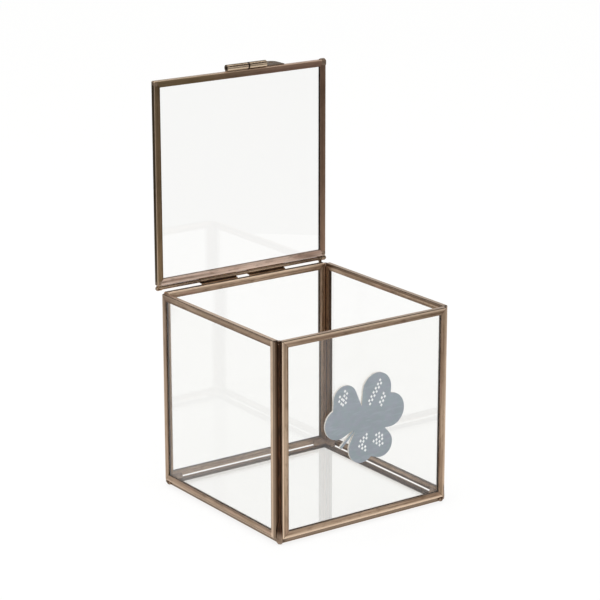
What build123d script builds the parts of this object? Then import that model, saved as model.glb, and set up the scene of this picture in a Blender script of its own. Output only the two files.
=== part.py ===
from build123d import *
import math
import os

os.makedirs("parts", exist_ok=True)

# A clear keepsake box: six panes in folded sheet-metal frames, soldered at the corners,
# with a hinged lid that stands open behind the box, a small folding pull on the lid's
# front edge and a clover plaque on the front pane.
# Millimetres. X runs to the right, Y to the back, Z up. The origin is the middle of the
# base on the table. The lid is modelled standing open.

# the whole box
box_width = 100.0
box_depth = 100.6
side_height = 95.45
side_lift = 0.45  # slit of light between the base and the four side panels

# every framed pane
glass_thickness = 2.0
sheet = 0.3  # sheet of the folded channels
pane_fit = 0.05  # on each face of a pane, inside its channel
pane_edge_gap = 0.2  # from a pane's edge to the channel's web
rail_width = 3.2  # how far a channel reaches over its pane
fold_radius = 0.4  # outside of the fold
corner_radius = 0.6  # filed corner of a frame

# solder
seam_radius = 0.9  # thin seam down each corner
seam_top_radius = 1.5
seam_top_length = 1.6
seam_foot_radius = 2.1
seam_foot_length = 9.0
tack_length = 8.0  # fillets inside, between the base and the sides
tack_height = 2.2
tack_reach = 1.5

# lid and its hinge
lid_width = 100.0
lid_depth = 100.4
rod_radius = 0.95
rod_overhang = 0.45  # past each end of the lid
rod_behind_box = 1.8  # rod's axis behind the back panels' outer face
rod_above_box = 1.45  # rod's axis above the side panels
lid_face_ahead = 0.9  # lid's inner face ahead of the rod's axis, open
lid_edge_gap = 0.3  # between the rod and the lid's rear edge
sleeve_sheet = 0.2
sleeve_clearance = 0.04
sleeve_tail = 3.0  # how far a sleeve reaches down the back rail
left_sleeve_start = -25.4
left_sleeve_end = -4.2
right_sleeve_start = 2.7
right_sleeve_end = 24.4
lug_width = 2.2
lug_inset = 0.3  # from the lid's side
lug_thickness = 1.9
lug_wall = 0.25
stop_width = 1.3
stop_gap = 0.2  # between the stop and the right lug
stop_thickness = 0.8
stop_reach = 3.2
stop_wall = 0.25
solder_fit = 0.02  # round a soldered rod

# folding pull
pull_roll_radius = 1.65
pull_pin_radius = 0.8
pull_pin_clearance = 0.06
pull_seat = 0.1  # under the rolls
pull_behind_face = 1.2  # pin's axis behind the lid's inner face, open
pull_start = -8.4
pull_fixed_length = 12.3
pull_gap = 0.3
pull_moving_length = 10.3
pull_pin_recess = 2.4
pull_foot_width = 1.8
flap_end = 25.7
flap_sheet = 0.4
flap_reach = 9.8  # from the pin's axis
flap_corner = 3.4
flap_hole_radius = 0.9
flap_hole_inset = 3.9

# clover plaque
plaque_thickness = 1.0
plaque_glue = 0.05
plaque_x = 0.0
plaque_z = 51.0
clover_reach = 24.0
# counter-clockwise: a lobe's angle, then its distance and radius in shares of clover_reach
clover_lobes = (
    (256.5, 0.500, 0.321),
    (304.0, 0.608, 0.279),
    (15.0, 0.579, 0.348),
    (69.0, 0.675, 0.344),
    (132.5, 0.775, 0.279),
    (172.5, 0.698, 0.312),
)
# the notch after each lobe: its angle and its distance; the stem grows out of the last one
clover_notches = (
    (276.5, 0.717),
    (336.0, 0.483),
    (41.0, 0.762),
    (110.0, 0.373),
    (157.5, 0.883),
    (195.0, 0.258),
)
stem_angle = 221.5
stem_length = 12.3
stem_width = 1.3
stem_root = 2.0  # inside the leaves

# worked out from the sizes above
panel_thickness = glass_thickness + 2 * (sheet + pane_fit)
half_width = box_width / 2
half_depth = box_depth / 2
inner_x = half_width - panel_thickness
inner_y = half_depth - panel_thickness
side_bottom = panel_thickness + side_lift
side_top = side_bottom + side_height
side_middle = (side_bottom + side_top) / 2
rod_y = half_depth + rod_behind_box
rod_z = side_top + rod_above_box
lid_edge_z = rod_z + rod_radius + lid_edge_gap
lid_top_z = lid_edge_z + lid_depth
lid_inner_y = rod_y - lid_face_ahead
pull_y = lid_inner_y + pull_behind_face
pull_z = lid_top_z + pull_seat + pull_roll_radius


def panel_frame(width, height):
    """A channel folded round a pane, as one ring; thickness along Z, outside up."""
    block = extrude(RectangleRounded(width, height, corner_radius), panel_thickness / 2, both=True)
    rims = block.edges().filter_by(lambda e: abs(abs(e.center().Z) - panel_thickness / 2) < 1e-6)
    ring = fillet(rims, fold_radius)
    slot = Box(width - 2 * sheet, height - 2 * sheet, panel_thickness - 2 * sheet)
    window = Box(width - 2 * rail_width, height - 2 * rail_width, 2 * panel_thickness)
    return ring - slot - window


def panel_rails(width, height):
    """The ring cut at its mitres: the rails at local -Y, +X, +Y and -X."""
    ring = panel_frame(width, height)
    deep = 2 * rail_width
    rails = []
    for turn in range(4):
        along, across = (width, height) if turn % 2 == 0 else (height, width)
        wedge = Polygon(
            (-along / 2, -across / 2),
            (along / 2, -across / 2),
            (along / 2 - deep, -across / 2 + deep),
            (-along / 2 + deep, -across / 2 + deep),
            align=None,
        )
        cutter = Rot(0, 0, 90 * turn) * extrude(wedge, panel_thickness, both=True)
        rails.append(ring & cutter)
    return rails


def pane(width, height):
    """The glass inside a frame of this size."""
    margin = 2 * (sheet + pane_edge_gap)
    return Box(width - margin, height - margin, glass_thickness)


def stand(centre, right, outward):
    """The place of a panel whose local X is right and whose outer face looks outward."""
    return Plane(origin=centre, x_dir=right, z_dir=outward).location


def framed_panel(name, width, height, place, sides):
    """Every piece of one panel, by node name."""
    pieces = {name + "_glass": place * pane(width, height)}
    for side, rail in zip(sides, panel_rails(width, height)):
        pieces[name + "_rail_" + side] = place * rail
    return pieces


def base_panel():
    """The base stands inside the four sides; its frame is one strip folded all round."""
    width = 2 * inner_x
    depth = 2 * inner_y
    place = Location((0, 0, panel_thickness / 2))
    return {
        "base_frame": place * panel_frame(width, depth),
        "base_glass": place * pane(width, depth),
    }


def side_panels():
    """Front, back, left and right; each is as long as the box less one corner each end."""
    out_x = half_width - panel_thickness / 2
    out_y = half_depth - panel_thickness / 2
    pieces = {}
    for name, width, centre, right, outward, sides in (
        ("front", 2 * inner_x, (0, -out_y), (1, 0, 0), (0, -1, 0), ("bottom", "right", "top", "left")),
        ("back", 2 * inner_x, (0, out_y), (-1, 0, 0), (0, 1, 0), ("bottom", "left", "top", "right")),
        ("left", 2 * inner_y, (-out_x, 0), (0, -1, 0), (-1, 0, 0), ("bottom", "front", "top", "back")),
        ("right", 2 * inner_y, (out_x, 0), (0, 1, 0), (1, 0, 0), ("bottom", "back", "top", "front")),
    ):
        place = stand((centre[0], centre[1], side_middle), right, outward)
        pieces.update(framed_panel(name, width, side_height, place, sides))
    return pieces


def lid_panel():
    """The lid standing open, its inner face to the front."""
    centre = (0, lid_inner_y + panel_thickness / 2, lid_edge_z + lid_depth / 2)
    place = stand(centre, (-1, 0, 0), (0, 1, 0))
    return framed_panel("lid", lid_width, lid_depth, place, ("hinge", "left", "front", "right"))


def corners():
    """The four corners of the box as signs of X and Y."""
    return [(-1, -1), (1, -1), (1, 1), (-1, 1)]


def corner_solder():
    """A quarter-round seam in the open notch of each corner, thick at its foot and its top."""
    foot = side_bottom + seam_foot_length
    neck = side_top - seam_top_length
    outline = Polygon(
        (0, sheet),
        (seam_foot_radius * 0.5, sheet),
        (seam_foot_radius * 0.95, side_bottom * 0.5),
        (seam_foot_radius, side_bottom),
        (seam_foot_radius * 0.9, (side_bottom + foot) / 2),
        (seam_radius, foot),
        (seam_radius, neck),
        (seam_top_radius, side_top - seam_top_length * 0.4),
        (seam_top_radius * 0.85, side_top - fold_radius / 2),
        (0, side_top - fold_radius / 2),
        align=None,
    )
    seam = revolve(Plane.XZ * outline, Axis.Z, 90)
    seams = []
    for (sign_x, sign_y), turn in zip(corners(), (180, 270, 0, 90)):
        seams.append(Pos(sign_x * inner_x, sign_y * inner_y, 0) * (Rot(0, 0, turn) * seam))
    return Compound(children=seams)


def base_tacks():
    """Fillets of solder in the inside corners that carry the base on the sides."""
    section = Polygon((0, 0), (tack_reach, 0), (0, tack_height), align=None)
    run = extrude(Plane.YZ * section, tack_length)
    other = mirror(Rot(0, 0, 90) * run, Plane.YZ)
    tack = run + other
    tacks = []
    for (sign_x, sign_y), turn in zip(corners(), (0, 90, 180, 270)):
        turned = Rot(0, 0, turn) * tack
        tacks.append(Pos(sign_x * inner_x, sign_y * inner_y, panel_thickness) * turned)
    return Compound(children=tacks)


def along_x(section, start, end):
    """A section drawn in Y and Z round the origin, run from start to end along X."""
    return Pos(start, 0, 0) * extrude(Plane.YZ * section, end - start)


def hinge_rod():
    """The rod the lid turns on, with rounded ends."""
    length = lid_width + 2 * rod_overhang
    rod = Cylinder(rod_radius, length, rotation=(0, 90, 0))
    return Pos(0, rod_y, rod_z) * chamfer(rod.edges().filter_by(GeomType.CIRCLE), rod_radius * 0.2)


def hinge_sleeve(start, end):
    """A strip rolled round the rod, then led under it and down the back rail."""
    bore = rod_radius + sleeve_clearance
    outer = bore + sleeve_sheet
    strip = Pos(-rod_behind_box / 2, -(bore + outer) / 2) * Rectangle(rod_behind_box, sleeve_sheet)
    tail_place = Pos(-rod_behind_box + sleeve_sheet / 2, -bore - sleeve_tail / 2)
    tail = tail_place * Rectangle(sleeve_sheet, sleeve_tail)
    section = Circle(outer) + strip + tail - Circle(bore)
    return Pos(0, rod_y, rod_z) * along_x(section, start, end)


def lid_lugs():
    """A lug at each end that holds the rod to the lid's rear edge."""
    bore = rod_radius + solder_fit
    outer = lug_thickness / 2
    top = rod_radius + lid_edge_gap
    profile = Polygon((-outer, top), (-outer, 0), (outer, 0), (outer, top), align=None)
    section = profile + Circle(bore + lug_wall) - Circle(bore)
    end = lid_width / 2 - lug_inset
    lug = Pos(0, rod_y, rod_z) * along_x(section, end - lug_width, end)
    return Compound(children=[lug, mirror(lug, Plane.YZ)])


def lid_stop():
    """A collar with a tail on the rod; the tail meets the back rail when the lid leans back."""
    bore = rod_radius + solder_fit
    outer = bore + stop_wall
    tail_place = Pos(-outer + stop_thickness / 2, -stop_reach / 2)
    section = Circle(outer) + tail_place * Rectangle(stop_thickness, stop_reach) - Circle(bore)
    end = lid_width / 2 - lug_inset - lug_width - stop_gap
    return Pos(0, rod_y, rod_z) * along_x(section, end - stop_width, end)


def pull_knuckle():
    """The fixed roll of the pull, on a foot soldered to the lid's front edge."""
    bore = pull_pin_radius + solder_fit
    low = pull_roll_radius + pull_seat
    foot = Pos(0, -low / 2) * Rectangle(pull_foot_width, low)
    section = Circle(pull_roll_radius) + foot - Circle(bore)
    end = pull_start + pull_fixed_length
    return Pos(0, pull_y, pull_z) * along_x(section, pull_start, end)


def pull_pin():
    """The pin through both rolls, set back from the fixed roll's open end."""
    start = pull_start + pull_pin_recess
    end = pull_start + pull_fixed_length + pull_gap + pull_moving_length
    pin = Cylinder(pull_pin_radius, end - start, rotation=(0, 90, 0))
    return Pos((start + end) / 2, pull_y, pull_z) * pin


def pull_flap():
    """The moving roll with its leaf, which lies back over the lid's edge."""
    start = pull_start + pull_fixed_length + pull_gap
    end = start + pull_moving_length
    roll = along_x(Circle(pull_roll_radius), start, end)
    width = flap_end - start
    outline = Rectangle(width, flap_reach)
    far = outline.vertices().group_by(Axis.Y)[-1]
    outline = fillet(far, flap_corner)
    spread = width - 2 * flap_hole_inset
    row = Pos(0, flap_reach / 2 - flap_hole_inset)
    holes = row * GridLocations(spread, 1, 2, 1) * Circle(flap_hole_radius)
    leaf = extrude(outline - holes, flap_sheet)
    leaf = Pos(start + width / 2, flap_reach / 2, -pull_roll_radius) * leaf
    bore = along_x(Circle(pull_pin_radius + pull_pin_clearance), start - 1, end + 1)
    return Pos(0, pull_y, pull_z) * (roll + leaf - bore)


def polar(angle, distance):
    """A point at that angle in degrees and that distance."""
    return Vector(distance, 0).rotate(Axis.Z, angle)


def touch(notch, centre, radius):
    """Where a line from the notch touches a lobe, on the side that looks out of the notch."""
    gap = centre - notch
    if gap.length <= radius:
        return notch
    swing = math.degrees(math.asin(radius / gap.length))
    run = math.sqrt(gap.length**2 - radius**2)
    ways = [gap.normalized().rotate(Axis.Z, turn) * run for turn in (swing, -swing)]
    return notch + max(ways, key=lambda way: way.dot(notch))


def clover_plaque():
    """Three heart-shaped leaves and a narrow stem, cut from a thin board."""
    lobes = [(polar(a, d * clover_reach), r * clover_reach) for a, d, r in clover_lobes]
    notches = [polar(a, d * clover_reach) for a, d in clover_notches]
    outline = Sketch()
    for k, notch in enumerate(notches):
        centre, radius = lobes[k]
        after, after_radius = lobes[(k + 1) % len(lobes)]
        outline += Pos(*centre) * Circle(radius)
        before_touch = touch(notch, centre, radius)
        after_touch = touch(notch, after, after_radius)
        web = [Vector(0, 0), centre, before_touch, notch, after_touch, after]
        points = [at for at, last in zip(web, web[-1:] + web) if (at - last).length > 1e-6]
        outline += Polygon(*[(at.X, at.Y) for at in points], align=None)
    root = notches[-1]
    stem = Pos((stem_length - stem_root) / 2, 0) * Rectangle(stem_length + stem_root, stem_width)
    outline += Pos(*root) * Rot(0, 0, stem_angle) * stem
    board = extrude(Plane.XZ * outline, plaque_thickness)
    back = half_depth - sheet - pane_fit + plaque_glue
    return Pos(plaque_x, -back, plaque_z) * board


pieces = {}
pieces.update(base_panel())
pieces.update(side_panels())
pieces.update(lid_panel())
pieces["corner_solder"] = corner_solder()
pieces["base_tacks"] = base_tacks()
pieces["hinge_rod"] = hinge_rod()
pieces["hinge_sleeve_left"] = hinge_sleeve(left_sleeve_start, left_sleeve_end)
pieces["hinge_sleeve_right"] = hinge_sleeve(right_sleeve_start, right_sleeve_end)
pieces["lid_lugs"] = lid_lugs()
pieces["lid_stop"] = lid_stop()
pieces["pull_knuckle"] = pull_knuckle()
pieces["pull_pin"] = pull_pin()
pieces["pull_flap"] = pull_flap()
pieces["clover_plaque"] = clover_plaque()

for name, shape in pieces.items():
    export_step(shape, "parts/" + name + ".step")
    print(name, len(shape.solids()), round(shape.volume, 2))
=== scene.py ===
"""Glass keepsake box with a hinged lid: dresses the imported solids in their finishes,
adds the solder, the painted dots and the studio, and sets the camera."""

import math
from collections import namedtuple

import bmesh
import bpy
from bpy.props import FloatProperty, FloatVectorProperty, PointerProperty
from mathutils import Matrix, Vector, noise


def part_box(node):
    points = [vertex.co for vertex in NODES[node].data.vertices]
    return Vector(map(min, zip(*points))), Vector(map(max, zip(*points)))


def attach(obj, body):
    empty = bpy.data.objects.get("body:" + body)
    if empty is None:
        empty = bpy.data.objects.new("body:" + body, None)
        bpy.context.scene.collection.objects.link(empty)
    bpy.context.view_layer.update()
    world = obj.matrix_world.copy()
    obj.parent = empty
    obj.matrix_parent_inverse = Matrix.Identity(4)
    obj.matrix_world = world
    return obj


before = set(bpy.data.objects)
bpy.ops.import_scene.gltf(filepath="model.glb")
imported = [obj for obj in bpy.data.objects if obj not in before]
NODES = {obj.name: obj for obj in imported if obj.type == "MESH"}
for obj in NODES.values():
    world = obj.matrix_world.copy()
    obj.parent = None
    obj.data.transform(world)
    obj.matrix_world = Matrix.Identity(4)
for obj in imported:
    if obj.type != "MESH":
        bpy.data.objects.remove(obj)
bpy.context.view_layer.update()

bl_info = {
    "name": "Glass keepsake box",
    "version": (1, 0, 0),
    "blender": (4, 5, 0),
    "location": "View3D > Sidebar > Keepsake box",
    "description": "Finishes, small parts and studio of a glass keepsake box with a hinged lid",
    "category": "Object",
}

MM = 0.001

PANELS = ("base", "front", "back", "left", "right", "lid")
PANES = [f"{panel}_glass" for panel in PANELS]
# the in-plane axes of each panel, then the axis through it
PANEL_AXES = {
    "base": (0, 1, 2),
    "front": (0, 2, 1),
    "back": (0, 2, 1),
    "left": (1, 2, 0),
    "right": (1, 2, 0),
    "lid": (0, 2, 1),
}
RAIL_WIDTH = 0.0032
# the panels whose upper folds are darkened, as patina and a painted dark reflection; on the
# others they stay worn bright with a painted highlight
DARK_REFLECTING_TOPS = ("front", "left", "right", "base")
# the panels whose rim, along the outer folds, gets a painted highlight; on the others it gets
# painted shade
HIGHLIGHT_RIMMED = ("front", "back")
# the panels whose depth counts from their low face, along the axis through them
LOW_FACED = ("front", "left", "lid")
BASE_SHADE = 0.55  # the base's frame by the brightness of the sides'

# how the patina and the painted light and shade lie on a panel, as shares: how dark it is beside
# the glass (patina and painted shadow of the lip), how much of the folds is worn bright (wear and
# painted highlight), how dark the faces that look up and the upright rails are (painted shade), how
# strong the rim along the outer folds is (painted highlight on some panels, painted shade on the
# others) and, in metres, how wide
PanelPatinaAndShading = namedtuple(
    "PanelPatinaAndShading", "beside_glass wear level_dark upright_dark rim rim_width"
)
PATINA_AND_SHADING = {
    "base": PanelPatinaAndShading(0.5, 0.5, 0.0, 0.0, 0.0, 0.0008),
    "front": PanelPatinaAndShading(0.25, 0.85, 0.0, 0.0, 0.45, 0.0009),
    "back": PanelPatinaAndShading(0.4, 1.0, 0.6, 0.0, 0.55, 0.0006),
    "left": PanelPatinaAndShading(0.4, 0.95, 0.0, 0.0, 0.55, 0.0007),
    "right": PanelPatinaAndShading(0.5, 0.8, 0.0, 0.0, 0.8, 0.0011),
    "lid": PanelPatinaAndShading(0.45, 0.6, 0.0, 0.5, 0.0, 0.0006),
    "lid_hinge": PanelPatinaAndShading(0.0, 0.6, 0.0, 0.0, 0.0, 0.0006),
}

# grain of the sheet metal, in metres
SPECK_SIZE = 0.00045
WAVE_SIZE = 0.009
RUB_SIZE = 0.0016
# half the width of the painted shade where two rolls meet, without and with its soft edge
PARTING_SHADE_HALF = (0.00035, 0.00065)
# the left panel's front upright, along Y: the painted shade on its fold and the painted highlight
# beside it fade out between these
LEFT_FOLD_SHADE_Y = (-0.0466, -0.0460)
LEFT_HIGHLIGHT_Y = (-0.0448, -0.0442)
# grain of the glass, in metres
SMEAR_SIZE = 0.03
RIPPLE_SIZE = 0.02
# grain of the clover, in metres
BRUSH_SIZE = 0.0011
CLOUD_SIZE = 0.006
HUE_SIZE = 0.0028
FIBRE_SIZE = 0.0003
PRINT_WEAR_SIZE = 0.0004
PAINT_RISE = (0.038, 0.062)  # the heights between which the paint gets lighter

CLOVER_HEIGHT = 0.051  # of the clover's middle
DOT_SUNK = 0.00001
DOT_PROUD = 0.00004
DOT_NARROWNESS = 0.85  # a dot's width by its height
# how uneven and how square the lumps of solder are
LUMP_UNEVENNESS = 0.1
LUMP_SQUARENESS = 0.62
WIPED_ALL_OVER = 1.0  # a height above the whole box
LEAF_DARK_REFLECTION = 0.78  # painted dark reflection on the pull's leaf, 0 as its rolls to 1 as the notches

TABLE_SIDES = 96
TABLE_CLOUD_SIZE = 0.25
TABLE_DROP = 0.0001  # so that the foot doesn't lie in the table's plane
SOFT_BOX_SIZE = (1.4, 1.0)
SOFT_BOX_PLACE = (-0.6, -0.5, 1.5)
SOFT_BOX_AIM = (0.0, 0.0, 0.1)
# the upward parts of a direction, from -1 down to 1 up, between which the room's zones fade
HORIZON = (-0.03, 0.02)
BACKDROP_TOP = (0.36, 0.46)
CEILING_EDGE = (0.78, 0.9)

# rows of printed dots on the leaves: start right of and above the clover's middle in mm,
# direction in degrees, count; the dots of a row zigzag about it
DOT_ROWS = (
    (-12.1, 17.6, -100, 7),
    (-15.0, 15.4, -100, 4),
    (8.1, 19.0, -125, 12),
    (10.2, 12.1, -117, 6),
    (0.3, -6.5, -144, 5),
    (-4.0, -10.4, -37, 5),
    (5.9, -6.8, -37, 5),
    (4.4, -9.6, -37, 6),
)


def rails_of(panel):
    """The channel nodes of one panel."""
    return [name for name in NODES if name.startswith(f"{panel}_rail_") or name == f"{panel}_frame"]


def tone(name, words, default):
    """A colour property."""
    return FloatVectorProperty(
        name=name, description=words, subtype="COLOR", size=3, min=0.0, max=1.0, default=default
    )


def length(name, words, default, top=1.0):
    """A length property in metres."""
    return FloatProperty(
        name=name, description=words, subtype="DISTANCE", unit="LENGTH", min=0.0, max=top,
        precision=5, default=default,
    )


def brightness(name, words, default):
    """A light's strength."""
    return FloatProperty(name=name, description=words, min=0.0, default=default)


class KeepsakeMetal(bpy.types.PropertyGroup):
    """Antiqued sheet metal of the frames, the hinge and the pull, with its painted highlights and
    shade
    """

    frame_mid: tone("Frame brown", "Main brown of the box's channels", (0.29, 0.19, 0.125))
    frame_light: tone("Frame light", "Rubbed metal of the box's channels", (0.50, 0.365, 0.26))
    frame_dark: tone("Frame dark", "Darkest patina of the box's channels", (0.10, 0.058, 0.034))
    lid_mid: tone("Lid brown", "Main brown of the lid's channels", (0.36, 0.235, 0.135))
    lid_light: tone("Lid light", "Rubbed metal of the lid's channels", (0.56, 0.39, 0.255))
    lid_dark: tone("Lid dark", "Darkest patina of the lid's channels", (0.10, 0.06, 0.034))
    copper_mid: tone("Copper", "Rosy metal of the lid's hinge rail", (0.56, 0.38, 0.29))
    copper_light: tone("Copper light", "Rubbed metal of the lid's hinge rail", (0.82, 0.64, 0.54))
    hinge_mid: tone("Hinge brown", "Main brown of the rod and the strips", (0.20, 0.13, 0.085))
    hinge_light: tone("Hinge light", "Rubbed metal of the rod and the strips", (0.48, 0.35, 0.245))
    hinge_dark: tone("Hinge dark", "Darkest patina of the hinge", (0.03, 0.019, 0.012))
    # bright metal worn along the folds, also used as the painted highlight on folds and rims
    worn_edge_and_highlight: tone("Worn edge", "Bright metal along the folds", (0.95, 0.74, 0.55))
    # patina in notches and mitres, also painted shade on notches, upper folds, level faces, roll
    # partings
    groove_patina_and_shade: tone("Groove", "Patina in the notches and along the upper folds", (0.034, 0.018, 0.010))
    pull_mid: tone("Pull", "Main tone of the folding pull", (0.34, 0.25, 0.165))
    pull_light: tone("Pull light", "Rubbed metal of the folding pull", (0.66, 0.52, 0.38))
    olive: tone("Olive patch", "Greenish stains in the patina", (0.25, 0.18, 0.085))
    rose: tone("Rose patch", "Pinkish copper that shows through", (0.46, 0.27, 0.21))
    patch_size: length("Patch size", "Width of the stains in the patina", 0.014)
    streak_size: length("Streak size", "Width of the rolling streaks in the sheet", 0.0005)


class KeepsakeSolder(bpy.types.PropertyGroup):
    """Patinated solder at the corners"""

    dark: tone("Dark solder", "Solder in the grooves", (0.045, 0.024, 0.014))
    light: tone("Light solder", "Solder where it was wiped", (0.30, 0.215, 0.155))
    lump_size: length("Lump size", "Size of the lumps in the solder", 0.0022)
    lid_lump: length("Lid lump", "Reach of the solder lumps on the lid's corners", 0.0017)
    base_lump: length("Base lump", "Reach of the solder at the base's corners", 0.0011)
    seam_lump_drop: length("Seam lump", "Depth below the rim of the lump in the right seam", 0.0062)
    wiped_height: length("Wiped foot", "Height up to which the foot is wiped bright", 0.007)


class KeepsakeGlass(bpy.types.PropertyGroup):
    """Clear float glass"""

    tint: tone("Tint", "Colour of the glass", (0.965, 0.965, 0.956))
    bend: FloatProperty(name="Index", description="Refractive index", min=1.0, max=2.0, default=1.5)


class KeepsakeClover(bpy.types.PropertyGroup):
    """Painted clover on the front pane"""

    paint: tone("Paint", "Blue-grey face of the clover", (0.345, 0.385, 0.42))
    board: tone("Board", "Bare edge of the board", (0.80, 0.77, 0.72))
    dots: tone("Dots", "Printed dots on the leaves", (0.95, 0.955, 0.955))
    dot_side: length("Dot side", "Side of one square dot", 0.00122)
    dot_step: length("Dot step", "Distance from dot to dot along a row", 0.0011)
    dot_swing: length("Dot swing", "How far a dot stands to either side of its row", 0.0007)


class KeepsakeStage(bpy.types.PropertyGroup):
    """Camera, lights and floor"""

    azimuth: FloatProperty(
        name="Azimuth", description="Camera's angle to the left of the front", subtype="ANGLE",
        default=math.radians(35.269),
    )
    elevation: FloatProperty(
        name="Elevation", description="Camera's angle above the horizon", subtype="ANGLE",
        default=math.radians(16.264),
    )
    roll: FloatProperty(
        name="Roll", description="Camera's turn about its own axis", subtype="ANGLE",
        default=math.radians(-0.057),
    )
    distance: length("Distance", "From the camera to its target", 1.09909, 10.0)
    target_side: FloatProperty(
        name="Target side", description="Target, to the camera's right of the origin",
        subtype="DISTANCE", unit="LENGTH", default=-0.001719, precision=5,
    )
    target_height: length("Target height", "Target's height above the table", 0.098305)
    lens: FloatProperty(
        name="Lens", description="Focal length in mm", default=137.93, min=10, max=400
    )
    floor: tone("Floor", "Pale table top", (0.16, 0.16, 0.1593))
    table_radius: length("Table radius", "Radius of the lit table top", 0.42, 5.0)
    floor_radius: length("Floor radius", "Radius of the pale floor round it", 6.0, 50.0)
    glow: brightness("Glow", "Light that the lit table top gives off", 0.84)
    backdrop: brightness("Backdrop", "Brightness of the low backdrop", 0.95)
    room: brightness("Room", "Brightness of the dark room above it", 0.16)
    ceiling: brightness("Ceiling", "Brightness of the soft light above", 2.2)
    key: brightness("Key", "Power of the soft box above, in watts", 7.0)


def settings(name):
    """The property group of that name."""
    return getattr(bpy.context.scene, f"keepsake_{name}")


def add(tree, kind, **values):
    """A node; values are properties, or inputs when the key starts with in_."""
    made = tree.nodes.new(kind)
    for key, value in values.items():
        if not key.startswith("in_"):
            setattr(made, key, value)
    for key, value in values.items():
        if key.startswith("in_"):
            label = key[3:]
            socket = made.inputs[int(label) if label.isdigit() else label.replace("_", " ")]
            if isinstance(value, bpy.types.NodeSocket):
                tree.links.new(value, socket)
            else:
                socket.default_value = value
    return made


def solid(colour):
    """RGB with full alpha."""
    return (*colour, 1.0)


def fresh(name):
    """An empty node material with its output and shader."""
    made = bpy.data.materials.new(name)
    made.use_nodes = True
    tree = made.node_tree
    tree.nodes.clear()
    out = tree.nodes.new("ShaderNodeOutputMaterial")
    shader = tree.nodes.new("ShaderNodeBsdfPrincipled")
    tree.links.new(shader.outputs["BSDF"], out.inputs["Surface"])
    return made, tree, shader


def wire(tree, source, shader, socket):
    """Links one output to a shader's socket."""
    tree.links.new(source, shader.inputs[socket])


def grain(tree, place, size, detail, rough, stretch=(1, 1, 1)):
    """A noise whose features are size metres wide, stretched along an axis."""
    spread = add(
        tree, "ShaderNodeMapping", in_0=place,
        in_3=(1 / (size * stretch[0]), 1 / (size * stretch[1]), 1 / (size * stretch[2])),
    )
    return add(
        tree, "ShaderNodeTexNoise", in_Vector=spread.outputs[0], in_Scale=1.0,
        in_Detail=detail, in_Roughness=rough,
    ).outputs["Fac"]


def window(tree, value, low, high, out_low=0.0, out_high=1.0):
    """Maps low..high to out_low..out_high, clamped."""
    return add(
        tree, "ShaderNodeMapRange", in_0=value, in_1=low, in_2=high, in_3=out_low, in_4=out_high
    ).outputs[0]


def arith(tree, way, one, other=0.0):
    """One math node's result."""
    return add(tree, "ShaderNodeMath", operation=way, in_0=one, in_1=other).outputs[0]


def product(tree, one, other):
    """Two values multiplied."""
    return arith(tree, "MULTIPLY", one, other)


def mixed(tree, share, one, other):
    """Two colours mixed by share."""
    made = add(tree, "ShaderNodeMix", data_type="RGBA")
    for index, value in ((0, share), (6, one), (7, other)):
        if isinstance(value, bpy.types.NodeSocket):
            tree.links.new(value, made.inputs[index])
        elif index == 0:
            made.inputs[0].default_value = value
        else:
            made.inputs[index].default_value = solid(value)
    return made.outputs[2]


def facing(tree):
    """How much the surface faces along X, Y and Z, each 0 to 1, and how much upward, with sign."""
    normal = add(tree, "ShaderNodeTexCoord").outputs["Normal"]
    signed = add(tree, "ShaderNodeSeparateXYZ", in_0=normal).outputs
    return [arith(tree, "ABSOLUTE", signed[k]) for k in range(3)], signed[2]


def fold_mask(tree, faces):
    """1 on the rounded folds, whose normal follows no axis, and 0 on the flats."""
    most = arith(tree, "MAXIMUM", arith(tree, "MAXIMUM", faces[0], faces[1]), faces[2])
    return window(tree, most, 0.995, 0.93)


def patina(tree, place, tones, along, look, grime=1.0):
    """Brown sheet with stains, fine streaks along one axis and dark specks, and the masks of its
    patches and streaks; grime is how much of the dark mottling there is."""
    dark, mid, light = tones
    stretch = [1.0, 1.0, 1.0]
    stretch[along] = 3.0
    patches = grain(tree, place, look.patch_size, 4.0, 0.6, stretch)
    stains = grain(tree, place, look.patch_size * 0.4, 3.0, 0.6, stretch)
    mottle = grain(tree, place, look.patch_size * 0.12, 3.0, 0.6, stretch)
    stretch[along] = 60.0
    streaks = grain(tree, place, look.streak_size, 2.0, 0.6, stretch)
    bands = grain(tree, place, look.streak_size * 2.4, 2.0, 0.65, stretch)
    specks = grain(tree, place, SPECK_SIZE, 2.0, 0.6)
    colour = mixed(tree, window(tree, patches, 0.36, 0.66), mid, light)
    colour = mixed(tree, window(tree, mottle, 0.50, 0.30, 0.0, 0.55 * grime), colour, dark)
    colour = mixed(tree, window(tree, streaks, 0.56, 0.40, 0.0, 0.30 * grime), colour, dark)
    colour = mixed(tree, window(tree, bands, 0.50, 0.36, 0.0, 0.5 * grime), colour, dark)
    colour = mixed(tree, window(tree, bands, 0.52, 0.68, 0.0, 0.5 * grime), colour, light)
    colour = mixed(tree, window(tree, stains, 0.58, 0.72, 0.0, 0.5), colour, look.olive)
    colour = mixed(tree, window(tree, stains, 0.42, 0.28, 0.0, 0.45), colour, look.rose)
    colour = mixed(tree, window(tree, specks, 0.62, 0.74, 0.0, 0.35), colour, dark)
    return colour, patches, streaks


def sheet_relief(tree, place, streaks, strength=0.25):
    """Streaks and the slow waves of hand-folded sheet."""
    relief = add(
        tree, "ShaderNodeBump", in_Strength=strength, in_Distance=0.00003, in_Height=streaks
    )
    waves = grain(tree, place, WAVE_SIZE, 1.0, 0.4)
    soft = add(
        tree, "ShaderNodeBump", in_Strength=0.4, in_Distance=0.0003, in_Height=waves,
        in_Normal=relief.outputs[0],
    )
    return soft.outputs[0]


def span(names):
    """The low and the high corner of the box round those nodes."""
    boxes = [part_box(name) for name in names]
    low = Vector([min(box[0][k] for box in boxes) for k in range(3)])
    high = Vector([max(box[1][k] for box in boxes) for k in range(3)])
    return low, high


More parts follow.
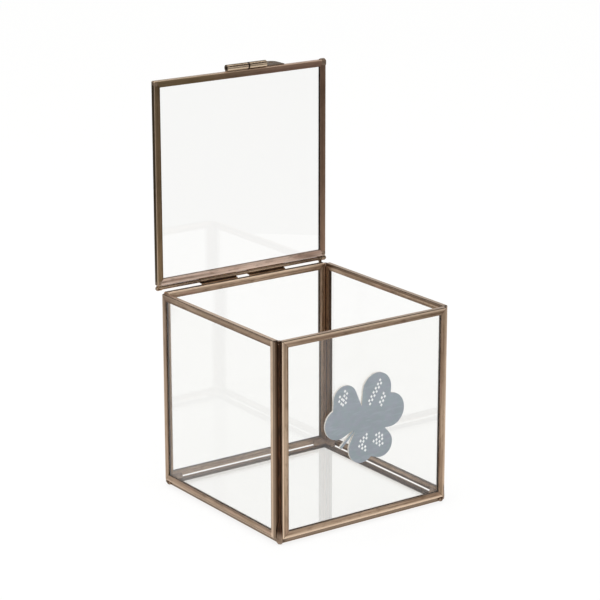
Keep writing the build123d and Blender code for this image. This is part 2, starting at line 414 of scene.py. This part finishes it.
def inward(tree, spot, low, high):
    """Metres from the nearer end of low..high, along one axis."""
    aside = arith(tree, "ABSOLUTE", arith(tree, "SUBTRACT", spot, (low + high) / 2))
    return arith(tree, "SUBTRACT", (high - low) / 2, aside)


def notch_shade_mask(tree, panel, spots, through, outside):
    """1 deep in the notch between this panel and the next, on the channels' webs, where patina and
    painted shade darken them.
    """
    depth = arith(tree, "ABSOLUTE", arith(tree, "SUBTRACT", spots[through], outside))
    if panel == "lid":
        return window(tree, depth, 0.0001, 0.0004)
    corner = window(tree, arith(tree, "ADD", spots[0], spots[1]), -0.090, -0.094)
    return arith(
        tree, "MAXIMUM", window(tree, depth, 0.0018, 0.0026),
        product(tree, corner, window(tree, depth, 0.0002, 0.0014)),
    )


def antiqued_and_shaded_panel(name, panel, tones, kind=None):
    """Antiqued channels of one panel with painted light and shade: worn bright along the folds with
    a painted highlight and a painted highlight band along the outer edges, darker beside the glass
    (patina and painted shadow of the lip), patina and painted shade in the notches, dark along the
    mitres, and painted highlight and shade on the rims, upper folds, level faces and upright rails."""
    look = settings("metal")
    age = PATINA_AND_SHADING[kind or panel]
    dark, light = tones[0], tones[2]
    made, tree, shader = fresh(name)
    place = add(tree, "ShaderNodeTexCoord").outputs["Object"]
    spots = add(tree, "ShaderNodeSeparateXYZ", in_0=place).outputs
    low, high = span(rails_of(panel))
    first, second, through = PANEL_AXES[panel]

    near_first = inward(tree, spots[first], low[first], high[first])
    near_second = inward(tree, spots[second], low[second], high[second])
    across = arith(tree, "MINIMUM", near_first, near_second)
    upright = window(tree, arith(tree, "SUBTRACT", near_second, near_first), -0.0001, 0.0001)
    lying, patches, lying_streaks = patina(tree, place, tones, first, look)
    standing, _, standing_streaks = patina(tree, place, tones, second, look)
    colour = mixed(tree, upright, lying, standing)
    streaks = add(
        tree, "ShaderNodeMix", data_type="FLOAT", in_0=upright, in_2=lying_streaks,
        in_3=standing_streaks,
    ).outputs[0]

    # painted highlight: a light band along the panel's outer edges
    lit = window(tree, across, RAIL_WIDTH * 0.12, RAIL_WIDTH * 0.5, 0.8, 0.0)
    colour = mixed(tree, lit, colour, light)
    # darker beside the glass: patina and painted shadow of the lip
    inner = window(tree, across, RAIL_WIDTH * 0.6, RAIL_WIDTH * 0.98, 0.0, age.beside_glass)
    colour = mixed(tree, inner, colour, dark)
    # painted shade on the upright rails
    colour = mixed(tree, product(tree, upright, age.upright_dark), colour, dark)

    faces, up = facing(tree)
    # painted shade on the faces that look up
    colour = mixed(tree, window(tree, up, 0.9, 0.98, 0.0, age.level_dark), colour, look.groove_patina_and_shade)
    # rim along the outer folds: painted highlight on some panels, painted shade on the others
    rim = window(tree, across, age.rim_width, age.rim_width * 1.4, age.rim, 0.0)
    rim = product(tree, rim, window(tree, faces[through], 0.85, 0.95))
    if panel == "left":
        rim = product(tree, rim, window(tree, spots[1], 0.02, 0.03, 1.0, 0.0))
    if panel == "front":
        rim = product(tree, rim, window(tree, upright, 0.0, 1.0, 1.0, 0.0))
    colour = mixed(tree, rim, colour, look.worn_edge_and_highlight if panel in HIGHLIGHT_RIMMED else dark)

    # patina and painted shade deep in the notches between panels
    side = faces[first] if panel != "base" else arith(tree, "MAXIMUM", faces[0], faces[1])
    outside = (low if panel in LOW_FACED else high)[through]
    deep = notch_shade_mask(tree, panel, spots, through, outside)
    notch_patina_and_shade = product(tree, window(tree, side, 0.85, 0.95), deep)
    colour = mixed(tree, product(tree, notch_patina_and_shade, 0.3 if panel == "front" else 0.88), colour, look.groove_patina_and_shade)

    gap = arith(tree, "ABSOLUTE", arith(tree, "SUBTRACT", near_first, near_second))
    mitre = window(tree, gap, 0.00008, 0.00025, 0.5, 0.0)
    flat = window(tree, arith(tree, "MAXIMUM", faces[through], faces[second]), 0.9, 0.98)
    colour = mixed(tree, product(tree, mitre, flat), colour, look.groove_patina_and_shade)

    # folds worn bright, with a painted highlight on them
    fold = fold_mask(tree, faces)
    rubbed = window(tree, patches, 0.30, 0.55, 0.6, 1.0)
    bright = product(tree, product(tree, fold, rubbed), age.wear)
    if panel == "left":
        # painted shade on the fold turned away and a painted highlight beside it
        front_fold_shade = window(tree, spots[1], *LEFT_FOLD_SHADE_Y, 1.0, 0.0)
        line = product(tree, window(tree, spots[1], *LEFT_HIGHLIGHT_Y, 1.0, 0.0), faces[through])
        colour = mixed(tree, product(tree, line, 0.4), colour, look.worn_edge_and_highlight)
        colour = mixed(tree, product(tree, front_fold_shade, 0.75), colour, dark)
        bright = product(tree, bright, window(tree, front_fold_shade, 0.0, 1.0, 1.0, 0.1))
    if kind is None and panel == "lid":
        drift = window(tree, spots[0], -0.025, 0.02)
        stain = mixed(tree, drift, look.olive, look.rose)
        colour = mixed(tree, window(tree, upright, 0.0, 1.0, 0.55, 0.25), colour, stain)
    colour = mixed(tree, bright, colour, look.worn_edge_and_highlight)
    # upper folds darkened: patina and a painted dark reflection
    if panel in DARK_REFLECTING_TOPS:
        dark_top_reflection = product(tree, fold, window(tree, up, 0.2, 0.45))
        colour = mixed(tree, product(tree, dark_top_reflection, 0.94), colour, look.groove_patina_and_shade)
    wire(tree, colour, shader, "Base Color")
    shader.inputs["Metallic"].default_value = 1.0
    wire(tree, window(tree, patches, 0.3, 0.7, 0.40, 0.27), shader, "Roughness")
    wire(tree, sheet_relief(tree, place, streaks), shader, "Normal")
    return made


def antiqued_and_shaded(name, tones, along, wear=0.6, leaf_dark_reflection=0.0, grime=1.0, seam=0.0, shaded_parting=None):
    """Antiqued metal of a rolled or bent piece whose streaks run along one axis, with a painted
    dark reflection on its level faces by leaf_dark_reflection, the seam along its rolls darker by
    seam, and painted shade where two rolls meet at the X of shaded_parting."""
    look = settings("metal")
    made, tree, shader = fresh(name)
    place = add(tree, "ShaderNodeTexCoord").outputs["Object"]
    colour, patches, streaks = patina(tree, place, tones, along, look, grime)
    rub = grain(tree, place, RUB_SIZE, 2.0, 0.6)
    colour = mixed(tree, window(tree, rub, 0.50, 0.68, 0.0, wear), colour, tones[2])
    up = facing(tree)[1]
    # painted dark reflection on the level faces
    level = window(tree, up, 0.96, 0.995, 0.0, leaf_dark_reflection)
    colour = mixed(tree, level, colour, look.groove_patina_and_shade)
    closing = product(tree, window(tree, up, 0.30, 0.38), window(tree, up, 0.66, 0.58))
    colour = mixed(tree, product(tree, closing, seam), colour, tones[0])
    # painted shade where two rolls meet
    if shaded_parting is not None:
        x = add(tree, "ShaderNodeSeparateXYZ", in_0=place).outputs[0]
        aside = arith(tree, "ABSOLUTE", arith(tree, "SUBTRACT", x, shaded_parting))
        colour = mixed(tree, window(tree, aside, *PARTING_SHADE_HALF, 0.95, 0.0), colour, look.groove_patina_and_shade)
    wire(tree, colour, shader, "Base Color")
    shader.inputs["Metallic"].default_value = 1.0
    polish = window(tree, patches, 0.3, 0.7, 0.30, 0.20)
    wire(tree, arith(tree, "ADD", polish, product(tree, level, 0.4)), shader, "Roughness")
    wire(tree, sheet_relief(tree, place, streaks, 0.25 * grime * grime), shader, "Normal")
    return made


def soldered(name, wiped):
    """Patinated solder: dark and drawn down the seams, wiped bright up to a height."""
    look = settings("solder")
    made, tree, shader = fresh(name)
    place = add(tree, "ShaderNodeTexCoord").outputs["Object"]
    runs = grain(tree, place, look.lump_size * 0.3, 3.0, 0.5, (1, 1, 9))
    lumps = grain(tree, place, look.lump_size, 2.0, 0.5)
    pits = grain(tree, place, look.lump_size * 0.15, 2.0, 0.6)
    warm = [min(1.0, c * k) for c, k in zip(look.dark, (2.6, 2.1, 1.7))]
    colour = mixed(tree, window(tree, runs, 0.45, 0.7), look.dark, warm)
    height = add(tree, "ShaderNodeSeparateXYZ", in_0=place).outputs[2]
    foot = window(tree, height, wiped, wiped * 0.45)
    foot = product(tree, foot, window(tree, lumps, 0.3, 0.55, 0.55, 1.0))
    colour = mixed(tree, foot, colour, look.light)
    colour = mixed(tree, window(tree, pits, 0.62, 0.74, 0.0, 0.5), colour, look.dark)
    wire(tree, colour, shader, "Base Color")
    shader.inputs["Metallic"].default_value = 0.95
    wire(tree, window(tree, pits, 0.3, 0.7, 0.32, 0.5), shader, "Roughness")
    heights = arith(tree, "ADD", lumps, product(tree, pits, 0.08))
    relief = add(tree, "ShaderNodeBump", in_Strength=0.5, in_Distance=0.00035, in_Height=heights)
    wire(tree, relief.outputs[0], shader, "Normal")
    return made


def clear_glass(name):
    """Clear glass that lets lamps through, with faint wiping marks."""
    look = settings("glass")
    made, tree, shader = fresh(name)
    place = add(tree, "ShaderNodeTexCoord").outputs["Object"]
    smears = grain(tree, place, SMEAR_SIZE, 3.0, 0.6)
    shader.inputs["Base Color"].default_value = solid(look.tint)
    shader.inputs["IOR"].default_value = look.bend
    shader.inputs["Transmission Weight"].default_value = 1.0
    wire(tree, window(tree, smears, 0.45, 0.8, 0.0, 0.02), shader, "Roughness")
    ripple = grain(tree, place, RIPPLE_SIZE, 0.0, 0.4)
    relief = add(tree, "ShaderNodeBump", in_Strength=0.15, in_Distance=0.00005, in_Height=ripple)
    wire(tree, relief.outputs[0], shader, "Normal")
    ray = add(tree, "ShaderNodeLightPath").outputs
    passing = arith(tree, "MAXIMUM", ray["Is Shadow Ray"], ray["Is Diffuse Ray"])
    through = add(tree, "ShaderNodeBsdfTransparent", in_0=solid(look.tint))
    both = add(
        tree, "ShaderNodeMixShader", in_0=passing, in_1=shader.outputs[0], in_2=through.outputs[0]
    )
    out = next(n for n in tree.nodes if n.type == "OUTPUT_MATERIAL")
    tree.links.new(both.outputs[0], out.inputs["Surface"])
    return made


def painted_board(name):
    """Blue-grey paint on the face that looks forward, bare board on the edges."""
    look = settings("clover")
    made, tree, shader = fresh(name)
    coord = add(tree, "ShaderNodeTexCoord")
    place = coord.outputs["Object"]
    backward = add(tree, "ShaderNodeSeparateXYZ", in_0=coord.outputs["Normal"]).outputs[1]
    face = window(tree, backward, -0.75, -0.9)
    brush = grain(tree, place, BRUSH_SIZE, 3.0, 0.6, (5, 1, 1))
    cloud = grain(tree, place, CLOUD_SIZE, 2.0, 0.5)
    fibre = grain(tree, place, FIBRE_SIZE, 2.0, 0.6, (1, 5, 1))
    lighter = [min(1.0, c * 1.22) for c in look.paint]
    darker = [c * 0.82 for c in look.paint]
    height = add(tree, "ShaderNodeSeparateXYZ", in_0=place).outputs[2]
    upper = [c * 1.08 for c in look.paint]
    paint = mixed(tree, window(tree, height, *PAINT_RISE), darker, upper)
    hue = grain(tree, place, HUE_SIZE, 2.0, 0.6)
    teal = [c * k for c, k in zip(look.paint, (0.92, 1.04, 0.98))]
    plum = [c * k for c, k in zip(look.paint, (1.05, 0.97, 1.06))]
    paint = mixed(tree, 0.45, paint, mixed(tree, window(tree, hue, 0.4, 0.6), teal, plum))
    paint = mixed(tree, window(tree, cloud, 0.35, 0.65, 0.0, 0.35), paint, darker)
    paint = mixed(tree, window(tree, brush, 0.5, 0.75, 0.0, 0.6), paint, lighter)
    board = mixed(tree, window(tree, fibre, 0.4, 0.65), look.board, [c * 0.8 for c in look.board])
    wire(tree, mixed(tree, face, board, paint), shader, "Base Color")
    wire(tree, window(tree, brush, 0.3, 0.7, 0.55, 0.72), shader, "Roughness")
    relief = add(tree, "ShaderNodeBump", in_Strength=0.25, in_Distance=0.00005, in_Height=brush)
    wire(tree, relief.outputs[0], shader, "Normal")
    return made


def printed_dot(name):
    """White print, a little worn."""
    look = settings("clover")
    made, tree, shader = fresh(name)
    place = add(tree, "ShaderNodeTexCoord").outputs["Object"]
    wear = grain(tree, place, PRINT_WEAR_SIZE, 3.0, 0.6)
    faded = [c * 0.9 for c in look.dots]
    wire(tree, mixed(tree, window(tree, wear, 0.5, 0.75), look.dots, faded), shader, "Base Color")
    wire(tree, window(tree, wear, 0.3, 0.7, 0.5, 0.7), shader, "Roughness")
    return made


def dress(names, finish):
    """Gives the solids of those nodes one finish."""
    for name in names:
        mesh = NODES[name].data
        mesh.materials.clear()
        mesh.materials.append(finish)


def add_piece(name, mesh, finish, body):
    """Adds a new piece to the scene, riding on a body."""
    mesh.materials.append(finish)
    made = bpy.data.objects.new(name, mesh)
    bpy.context.scene.collection.objects.link(made)
    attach(made, body)


class KEEPSAKE_OT_frames(bpy.types.Operator):
    """Antiques the channels round the base and the four sides, with painted highlights and shade"""

    bl_idname = "keepsake.frames"
    bl_label = "Box frames"

    def execute(self, context):
        look = settings("metal")
        tones = (look.frame_dark, look.frame_mid, look.frame_light)
        shaded = [[c * BASE_SHADE for c in colour] for colour in tones]
        for panel in PANELS:
            if panel != "lid":
                finish = antiqued_and_shaded_panel(
                    f"antiqued_{panel}", panel, shaded if panel == "base" else tones
                )
                dress(rails_of(panel), finish)
        return {"FINISHED"}


class KEEPSAKE_OT_lid(bpy.types.Operator):
    """Antiques the lid's channels with painted highlights and shade, the hinge rail rosier than the
    rest
    """

    bl_idname = "keepsake.lid"
    bl_label = "Lid frame"

    def execute(self, context):
        look = settings("metal")
        tones = (look.lid_dark, look.lid_mid, look.lid_light)
        dress(rails_of("lid"), antiqued_and_shaded_panel("antiqued_lid", "lid", tones))
        rosy = (look.frame_dark, look.copper_mid, look.copper_light)
        finish = antiqued_and_shaded_panel("antiqued_lid_hinge_rail", "lid", rosy, "lid_hinge")
        dress(["lid_rail_hinge"], finish)
        return {"FINISHED"}


class KEEPSAKE_OT_hinge(bpy.types.Operator):
    """Darkens the rod, the rolled strips, the lugs, the stop and the pull, with painted shade where
    the pull's rolls meet and a painted dark reflection on its leaf
    """

    bl_idname = "keepsake.hinge"
    bl_label = "Hinge and pull"

    def execute(self, context):
        look = settings("metal")
        tones = (look.hinge_dark, look.hinge_mid, look.hinge_light)
        dress(
            ["hinge_rod", "hinge_sleeve_left", "hinge_sleeve_right", "lid_lugs", "lid_stop"],
            antiqued_and_shaded("antiqued_hinge", tones, 0),
        )
        tones = (look.frame_dark, look.pull_mid, look.pull_light)
        meet = (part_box("pull_knuckle")[1][0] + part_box("pull_flap")[0][0]) / 2
        rolled = {"wear": 0.15, "grime": 0.2, "seam": 0.8, "shaded_parting": meet}
        dress(["pull_knuckle", "pull_pin"], antiqued_and_shaded("antiqued_pull", tones, 0, **rolled))
        leaf = antiqued_and_shaded("antiqued_pull_leaf", tones, 0, leaf_dark_reflection=LEAF_DARK_REFLECTION, **rolled)
        dress(["pull_flap"], leaf)
        return {"FINISHED"}


class KEEPSAKE_OT_solder(bpy.types.Operator):
    """Finishes the solder in the corners"""

    bl_idname = "keepsake.solder"
    bl_label = "Solder"

    def execute(self, context):
        look = settings("solder")
        dress(["corner_solder", "base_tacks"], soldered("patinated_solder", look.wiped_height))
        self.lid_corners(look)
        self.base_corners(look)
        return {"FINISHED"}

    def lid_corners(self, look):
        """A wiped lump of solder on each corner of the lid's frame."""
        low, high = span(rails_of("lid"))
        reach = look.lid_lump
        lumps = []
        for x, z, grow in (
            (low.x, high.z, 0.86),
            (high.x, high.z, 1.12),
            (low.x, low.z, 0.8),
            (high.x, low.z, 0.95),
        ):
            way_in = Vector((-math.copysign(1, x), 0, 1 if z == low.z else -1))
            centre = Vector((x, (low.y + high.y) / 2, z)) + way_in * reach * 0.8
            lumps.append((centre, Vector((reach * grow, (high.y - low.y) * 0.545, reach * grow))))
        self.lump_piece("lid_corner_solder", lumps, "lid")

    def base_corners(self, look):
        """Solder at the foot and at the top of each corner seam, and a lump in the right one."""
        low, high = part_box("base_frame")
        half = look.base_lump
        lumps = []
        for x in (low[0], high[0]):
            for y in (low[1], high[1]):
                centre = Vector((x, y, low[2] + half))
                lumps.append((centre, Vector((half, half, half * 0.95))))
        front = span(rails_of("front"))
        left = span(rails_of("left"))
        top = front[1].z
        for x in (front[0].x, front[1].x):
            for y in (left[0].y, left[1].y):
                centre = Vector((x, y, top - half * 0.9))
                lumps.append((centre, Vector((half, half, half)) * 0.85))
        seam = Vector((front[1].x, left[0].y, top - look.seam_lump_drop))
        lumps.append((seam, Vector((half, half, half * 1.7)) * 0.9))
        self.lump_piece("box_corner_solder", lumps, "box")

    def lump_piece(self, name, lumps, body):
        """One piece of slightly squared, uneven lumps, each with its centre and half sizes."""
        mesh = bpy.data.meshes.new(name)
        bm = bmesh.new()
        for centre, half in lumps:
            made = bmesh.ops.create_icosphere(bm, subdivisions=4, radius=1.0)
            for vert in made["verts"]:
                way = vert.co.normalized()
                bump = noise.noise(way * 2.1 + centre * 900) * LUMP_UNEVENNESS
                squared = Vector([math.copysign(abs(c) ** LUMP_SQUARENESS, c) for c in way])
                vert.co = centre + squared * (1 + bump) * half
        for face in bm.faces:
            face.smooth = True
        bm.to_mesh(mesh)
        bm.free()
        add_piece(name, mesh, soldered(f"wiped_{name}", WIPED_ALL_OVER), body)


class KEEPSAKE_OT_glass(bpy.types.Operator):
    """Glazes the six panes"""

    bl_idname = "keepsake.glass"
    bl_label = "Glass"

    def execute(self, context):
        dress(PANES, clear_glass("clear_float_glass"))
        return {"FINISHED"}


class KEEPSAKE_OT_clover(bpy.types.Operator):
    """Paints the clover and prints its dots"""

    bl_idname = "keepsake.clover"
    bl_label = "Clover"

    def execute(self, context):
        look = settings("clover")
        dress(["clover_plaque"], painted_board("painted_clover_board"))
        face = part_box("clover_plaque")[0][1]
        centre = Vector((0.0, face, CLOVER_HEIGHT))
        reach = look.dot_side / math.sqrt(2)
        mesh = bpy.data.meshes.new("clover_dots")
        bm = bmesh.new()
        for right, above, angle, count in DOT_ROWS:
            along = Vector((math.cos(math.radians(angle)), 0, math.sin(math.radians(angle))))
            side = Vector((-along.z, 0, along.x))
            start = centre + Vector((right, 0, above)) * MM
            for step in range(count):
                swing = look.dot_swing if step % 2 else -look.dot_swing
                spot = start + along * step * look.dot_step + side * swing
                ring = []
                for out in (DOT_SUNK, DOT_PROUD):
                    for u, v in ((-1, 0), (0, -1), (1, 0), (0, 1)):
                        corner = spot + Vector((u * DOT_NARROWNESS, 0, v)) * reach
                        corner.y = face - out
                        ring.append(bm.verts.new(corner))
                bm.faces.new(ring[4:])
                for k in range(4):
                    bm.faces.new((ring[k], ring[(k + 1) % 4], ring[4 + (k + 1) % 4], ring[4 + k]))
        bmesh.ops.recalc_face_normals(bm, faces=bm.faces)
        bm.to_mesh(mesh)
        bm.free()
        add_piece("clover_dots", mesh, printed_dot("printed_white"), "box")
        return {"FINISHED"}


class KEEPSAKE_OT_stage(bpy.types.Operator):
    """Lays the pale table, hangs the soft light and sets the camera"""

    bl_idname = "keepsake.stage"
    bl_label = "Stage"

    def execute(self, context):
        look = settings("stage")
        scene = context.scene
        scene.view_settings.view_transform = "Standard"
        self.camera(scene, look)
        self.table(scene, look)
        self.light(scene, look)
        return {"FINISHED"}

    def camera(self, scene, look):
        """A camera with a long lens, aimed at the target and rolled a little."""
        a, e, r = look.azimuth, look.elevation, look.roll
        back = Vector((-math.sin(a) * math.cos(e), -math.cos(a) * math.cos(e), math.sin(e)))
        right = Vector((math.cos(a), -math.sin(a), 0.0))
        up = back.cross(right)
        target = right * look.target_side + Vector((0, 0, look.target_height))
        turned = right * math.cos(r) + up * math.sin(r)
        upright = up * math.cos(r) - right * math.sin(r)
        data = bpy.data.cameras.new("camera")
        data.sensor_width = 36.0
        data.lens = look.lens
        data.clip_start, data.clip_end = 0.05, 50.0
        made = bpy.data.objects.new("camera", data)
        scene.collection.objects.link(made)
        turn = Matrix((turned, upright, back)).transposed().to_4x4()
        made.matrix_world = Matrix.Translation(target + back * look.distance) @ turn
        scene.camera = made

    def table(self, scene, look):
        """A lit pale table top, and the floor round it that the metal doesn't reflect."""
        made, tree, shader = fresh("pale_table")
        place = add(tree, "ShaderNodeTexCoord").outputs["Object"]
        cloud = grain(tree, place, TABLE_CLOUD_SIZE, 2.0, 0.5)
        tint = [c * 0.985 for c in look.floor]
        wire(tree, mixed(tree, cloud, look.floor, tint), shader, "Base Color")
        wire(tree, window(tree, cloud, 0.3, 0.7, 0.75, 0.85), shader, "Roughness")
        shader.inputs["Specular IOR Level"].default_value = 0.0
        shader.inputs["Emission Color"].default_value = (1.0, 1.0, 0.997, 1.0)
        shader.inputs["Emission Strength"].default_value = look.glow
        turns = [math.radians(360 * k / TABLE_SIDES) for k in range(TABLE_SIDES)]
        for name, inner, outer in (
            ("table_top", None, look.table_radius),
            ("table_floor", look.table_radius, look.floor_radius),
        ):
            mesh = bpy.data.meshes.new(name)
            bm = bmesh.new()
            rings = [
                [bm.verts.new((radius * math.cos(t), radius * math.sin(t), 0)) for t in turns]
                for radius in (inner, outer) if radius
            ]
            if inner:
                for k in range(TABLE_SIDES):
                    after = (k + 1) % TABLE_SIDES
                    bm.faces.new((rings[0][k], rings[1][k], rings[1][after], rings[0][after]))
            else:
                bm.faces.new(rings[0])
            bm.to_mesh(mesh)
            bm.free()
            mesh.materials.append(made)
            top = bpy.data.objects.new(name, mesh)
            top.location.z = -TABLE_DROP
            top.visible_glossy = top.visible_diffuse = inner is None
            scene.collection.objects.link(top)

    def light(self, scene, look):
        """White all round for the eye; for the metal a backdrop, a dark room and a lit ceiling."""
        world = bpy.data.worlds.new("soft_room")
        world.use_nodes = True
        tree = world.node_tree
        tree.nodes.clear()
        place = add(tree, "ShaderNodeTexCoord").outputs["Generated"]
        up = add(tree, "ShaderNodeSeparateXYZ", in_0=place).outputs[2]
        low = window(tree, up, *HORIZON, look.room, look.backdrop)
        high = window(tree, up, *BACKDROP_TOP, 1.0, look.room)
        above = window(tree, up, *CEILING_EDGE, 0.0, look.ceiling)
        strength = arith(tree, "ADD", product(tree, low, high), above)
        ray = add(tree, "ShaderNodeLightPath").outputs
        seen = arith(tree, "MAXIMUM", ray["Is Camera Ray"], ray["Is Transmission Ray"])
        strength = add(
            tree, "ShaderNodeMix", data_type="FLOAT", in_0=seen, in_2=strength, in_3=1.0
        ).outputs[0]
        white = solid((1.0, 1.0, 1.0))
        backing = add(tree, "ShaderNodeBackground", in_0=white, in_1=strength)
        out = tree.nodes.new("ShaderNodeOutputWorld")
        tree.links.new(backing.outputs[0], out.inputs[0])
        scene.world = world
        lamp = bpy.data.lights.new("soft_box", "AREA")
        lamp.shape = "RECTANGLE"
        lamp.size, lamp.size_y = SOFT_BOX_SIZE
        lamp.energy = look.key
        made = bpy.data.objects.new("soft_box", lamp)
        made.location = SOFT_BOX_PLACE
        made.rotation_mode = "QUATERNION"
        aim = Vector(SOFT_BOX_AIM) - made.location
        made.rotation_quaternion = aim.to_track_quat("-Z", "Y")
        scene.collection.objects.link(made)


class KEEPSAKE_PT_panel(bpy.types.Panel):
    """Lists the steps of the keepsake box"""

    bl_idname = "KEEPSAKE_PT_panel"
    bl_label = "Keepsake box"
    bl_space_type = "VIEW_3D"
    bl_region_type = "UI"
    bl_category = "Keepsake box"

    def draw(self, context):
        """The steps as buttons, then the settings of each group."""
        for step in STEPS:
            self.layout.operator(step.bl_idname)
        for name in GROUPS:
            group = settings(name)
            box = self.layout.box()
            for key in group.__annotations__:
                box.prop(group, key)


GROUPS = {
    "metal": KeepsakeMetal,
    "solder": KeepsakeSolder,
    "glass": KeepsakeGlass,
    "clover": KeepsakeClover,
    "stage": KeepsakeStage,
}
STEPS = (
    KEEPSAKE_OT_stage,
    KEEPSAKE_OT_glass,
    KEEPSAKE_OT_frames,
    KEEPSAKE_OT_lid,
    KEEPSAKE_OT_hinge,
    KEEPSAKE_OT_solder,
    KEEPSAKE_OT_clover,
)


def register():
    """Adds the settings, the steps and the panel."""
    for kind in (*GROUPS.values(), *STEPS, KEEPSAKE_PT_panel):
        bpy.utils.register_class(kind)
    for name, kind in GROUPS.items():
        setattr(bpy.types.Scene, f"keepsake_{name}", PointerProperty(type=kind))


def unregister():
    """Takes them away again."""
    for name in GROUPS:
        delattr(bpy.types.Scene, f"keepsake_{name}")
    for kind in (KEEPSAKE_PT_panel, *STEPS, *GROUPS.values()):
        bpy.utils.unregister_class(kind)


def main():
    """Runs every step in order."""
    register()
    for step in STEPS:
        family, name = step.bl_idname.split(".")
        getattr(getattr(bpy.ops, family), name)()


if __name__ == "__main__":
    main()
